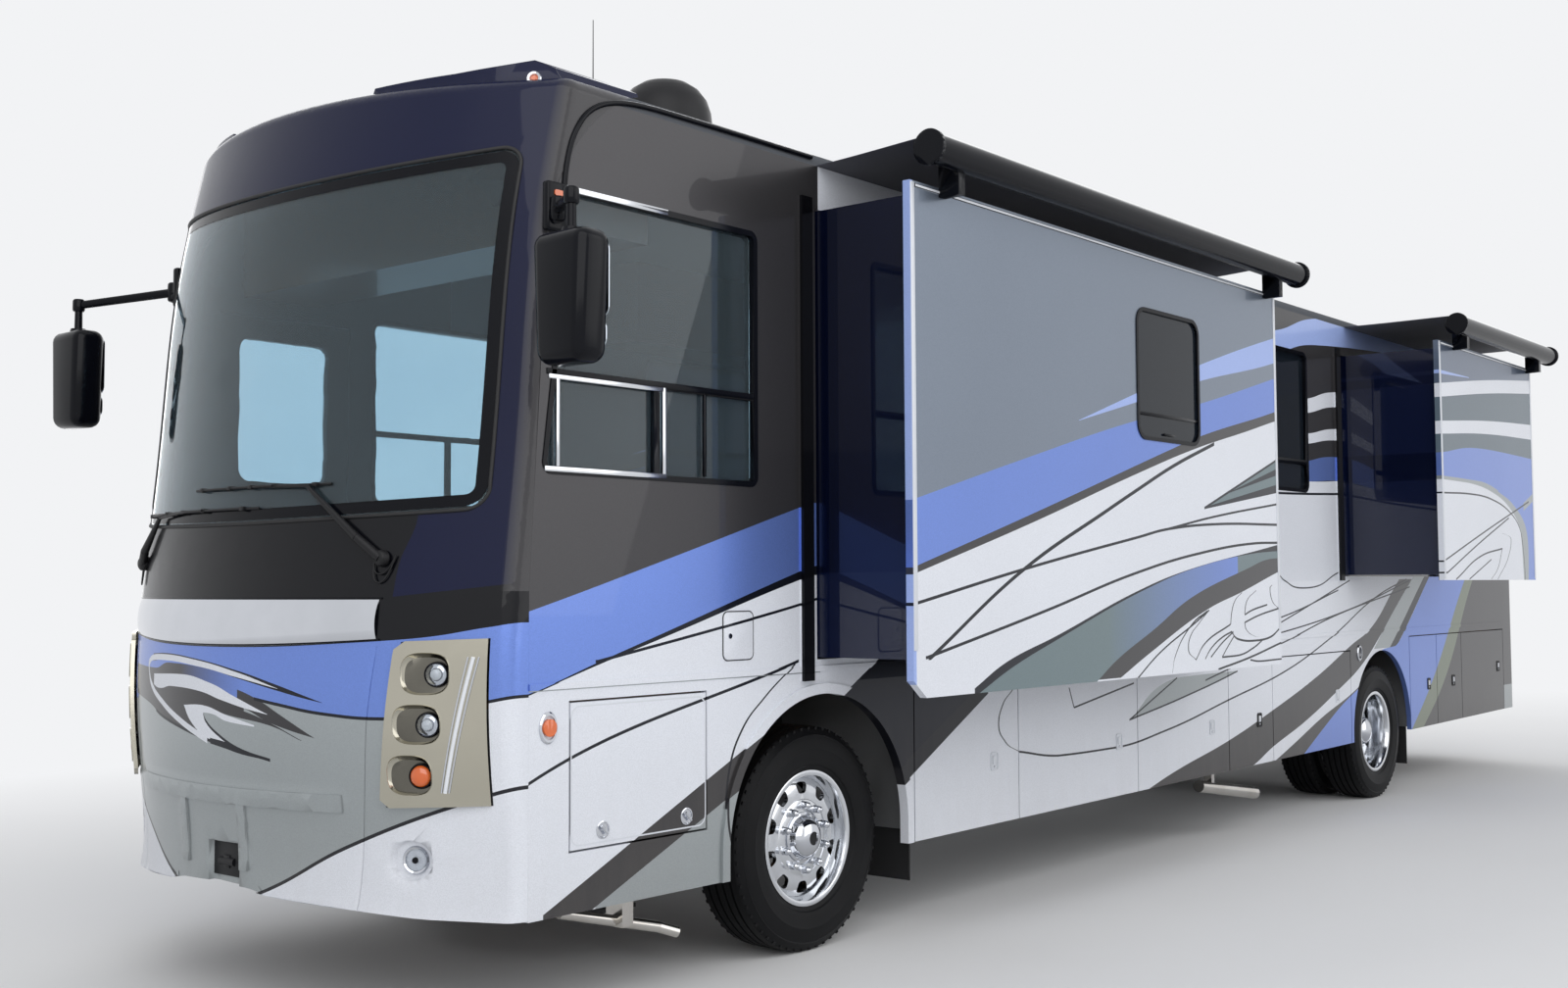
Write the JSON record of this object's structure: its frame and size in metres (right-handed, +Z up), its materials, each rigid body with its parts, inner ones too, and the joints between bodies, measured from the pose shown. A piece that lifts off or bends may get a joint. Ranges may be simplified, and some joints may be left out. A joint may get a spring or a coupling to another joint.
{
  "type": "motorhome",
  "caption": "Long bus-bodied motorhome with a curved one-piece windshield, slide-out rooms, hinged bay, entry and engine doors, steering front wheels and twinned rear wheels.",
  "frame": {"origin": "middle of the footprint of the whole vehicle, on the ground", "axes": "+X forward along the vehicle, +Y to its left, +Z up"},
  "size_m": [12.4248, 4.0158, 4.4],
  "materials": {
    "body_paint": "gloss metallic",
    "frame_steel": "satin",
    "axle_iron": "painted",
    "floor_board": "satin",
    "tray_metal": "mill",
    "glass": "polished",
    "black_trim": "gloss",
    "window_alloy": "anodised",
    "roof_white": "gloss",
    "dash_plastic": "matte",
    "seat_leather": "soft",
    "cabinet_wood": "gloss varnish",
    "chrome": "polished",
    "lens": "clear",
    "tyre": "matte",
    "rim_alloy": "polished",
    "rubber": "matte",
    "topper_fabric": "woven"
  },
  "bodies": {
    "coach": {"chassis_rails": "frame_steel", "front_axle": "axle_iron", "rear_axle": "axle_iron", "engine_block": "axle_iron", "house_floor": "floor_board", "bay_trays": "tray_metal", "wall_left": "body_paint", "wall_right": "body_paint", "skirts": "body_paint", "roof": "roof_white", "front_cap": "body_paint", "rear_cap": "body_paint", "glass": "glass", "window_frames": "window_alloy", "entry_steps": "dash_plastic", "dash": "dash_plastic", "steering_wheel": "dash_plastic", "cab_seats": "seat_leather", "cabinets": "cabinet_wood", "mirrors": "black_trim", "wipers": "black_trim", "headlamp_panels": "chrome", "lamps": "lens", "roof_gear": "roof_white", "exhaust": "chrome", "levelling_jacks": "frame_steel", "mud_flaps": "rubber", "slide_1_topper": "topper_fabric", "slide_2_topper": "topper_fabric"},
    "knuckle_left": {"knuckle_left": "axle_iron"},
    "knuckle_right": {"knuckle_right": "axle_iron"},
    "front_wheel_left": {"front_tyre_left": "tyre", "front_rim_left": "rim_alloy"},
    "front_wheel_right": {"front_tyre_right": "tyre", "front_rim_right": "rim_alloy"},
    "rear_wheel_left": {"rear_tyres_left": "tyre", "rear_rims_left": "rim_alloy"},
    "rear_wheel_right": {"rear_tyres_right": "tyre", "rear_rims_right": "rim_alloy"},
    "slide_1": {"slide_1": "body_paint", "slide_1_glass": "glass", "slide_1_roller": "black_trim"},
    "slide_2": {"slide_2": "body_paint", "slide_2_roller": "black_trim"},
    "entry_door": {"entry_door": "body_paint", "entry_door_glass": "glass"},
    "engine_door": {"engine_door": "body_paint"},
    "locker_door": {"locker_door": "body_paint"},
    "bay_door_1": {"bay_door_1": "body_paint"},
    "bay_door_2": {"bay_door_2": "body_paint"},
    "bay_door_3": {"bay_door_3": "body_paint"},
    "bay_door_4": {"bay_door_4": "body_paint"},
    "bay_door_5": {"bay_door_5": "body_paint"},
    "bay_door_6": {"bay_door_6": "body_paint"},
    "bay_door_7": {"bay_door_7": "body_paint"},
    "bay_door_8": {"bay_door_8": "body_paint"},
    "bay_door_right_1": {"bay_door_right_1": "body_paint"},
    "bay_door_right_2": {"bay_door_right_2": "body_paint"},
    "bay_door_right_3": {"bay_door_right_3": "body_paint"},
    "bay_door_right_4": {"bay_door_right_4": "body_paint"}
  },
  "joints": [
    {"name": "steer_left", "type": "hinge", "parent": "coach", "child": "knuckle_left", "pos_m": [3.94755, 0.687, 0.495], "axis": [0, 0, 1], "range_deg": [-38, 38]},
    {"name": "front_wheel_left", "type": "hinge", "parent": "knuckle_left", "child": "front_wheel_left", "pos_m": [3.94755, 0.882, 0.495], "axis": [0, 1, 0], "continuous": true},
    {"name": "rear_wheel_left", "type": "hinge", "parent": "coach", "child": "rear_wheel_left", "pos_m": [-2.79245, 0.767, 0.495], "axis": [0, 1, 0], "continuous": true},
    {"name": "steer_right", "type": "hinge", "parent": "coach", "child": "knuckle_right", "pos_m": [3.94755, -1.033, 0.495], "axis": [0, 0, 1], "range_deg": [-38, 38]},
    {"name": "front_wheel_right", "type": "hinge", "parent": "knuckle_right", "child": "front_wheel_right", "pos_m": [3.94755, -1.228, 0.495], "axis": [0, 1, 0], "continuous": true},
    {"name": "rear_wheel_right", "type": "hinge", "parent": "coach", "child": "rear_wheel_right", "pos_m": [-2.79245, -1.113, 0.495], "axis": [0, 1, 0], "continuous": true},
    {"name": "slide_1", "type": "slide", "parent": "coach", "child": "slide_1", "axis": [0, 1, 0], "range_m": [-0.485, 0], "deforming": ["slide_1_topper"]},
    {"name": "slide_2", "type": "slide", "parent": "coach", "child": "slide_2", "axis": [0, 1, 0], "range_m": [-0.66, 0], "deforming": ["slide_2_topper"]},
    {"name": "entry_door", "type": "hinge", "parent": "coach", "child": "entry_door", "pos_m": [5.44755, -1.4655, 1.69], "axis": [0, 0, 1], "range_deg": [0, 90]},
    {"name": "engine_door", "type": "hinge", "parent": "coach", "child": "engine_door", "pos_m": [-6.13245, -0.173, 1.6], "axis": [0, 1, 0], "range_deg": [0, 80]},
    {"name": "locker_door", "type": "hinge", "parent": "coach", "child": "locker_door", "pos_m": [5.11755, 1.1195, 1.184], "axis": [1, 0, 0], "range_deg": [0, 90]},
    {"name": "bay_door_1", "type": "hinge", "parent": "coach", "child": "bay_door_1", "pos_m": [3.29055, 1.1195, 0.764], "axis": [0, 0, -1], "range_deg": [0, 90]},
    {"name": "bay_door_2", "type": "hinge", "parent": "coach", "child": "bay_door_2", "pos_m": [2.36655, 1.1195, 0.764], "axis": [0, 0, -1], "range_deg": [0, 90]},
    {"name": "bay_door_3", "type": "hinge", "parent": "coach", "child": "bay_door_3", "pos_m": [1.08155, 1.1195, 0.764], "axis": [0, 0, -1], "range_deg": [0, 90]},
    {"name": "bay_door_4", "type": "hinge", "parent": "coach", "child": "bay_door_4", "pos_m": [-0.12245, 1.1195, 0.764], "axis": [0, 0, -1], "range_deg": [0, 90]},
    {"name": "bay_door_5", "type": "hinge", "parent": "coach", "child": "bay_door_5", "pos_m": [-0.79245, 1.1195, 0.764], "axis": [0, 0, -1], "range_deg": [0, 90]},
    {"name": "bay_door_6", "type": "hinge", "parent": "coach", "child": "bay_door_6", "pos_m": [-3.38645, 1.1195, 0.764], "axis": [0, 0, -1], "range_deg": [0, 90]},
    {"name": "bay_door_7", "type": "hinge", "parent": "coach", "child": "bay_door_7", "pos_m": [-4.00845, 1.1195, 0.764], "axis": [0, 0, -1], "range_deg": [0, 90]},
    {"name": "bay_door_8", "type": "hinge", "parent": "coach", "child": "bay_door_8", "pos_m": [-4.62145, 1.1195, 0.764], "axis": [0, 0, -1], "range_deg": [0, 90]},
    {"name": "bay_door_right_1", "type": "hinge", "parent": "coach", "child": "bay_door_right_1", "pos_m": [2.36655, -1.4655, 0.764], "axis": [0, 0, 1], "range_deg": [0, 90]},
    {"name": "bay_door_right_2", "type": "hinge", "parent": "coach", "child": "bay_door_right_2", "pos_m": [1.08155, -1.4655, 0.764], "axis": [0, 0, 1], "range_deg": [0, 90]},
    {"name": "bay_door_right_3", "type": "hinge", "parent": "coach", "child": "bay_door_right_3", "pos_m": [-0.79245, -1.4655, 0.764], "axis": [0, 0, 1], "range_deg": [0, 90]},
    {"name": "bay_door_right_4", "type": "hinge", "parent": "coach", "child": "bay_door_right_4", "pos_m": [-4.62145, -1.4655, 0.764], "axis": [0, 0, 1], "range_deg": [0, 90]}
  ],
  "couplings": [
    {"joint": "steer_right", "follows": "steer_left", "ratio": 1}
  ]
}
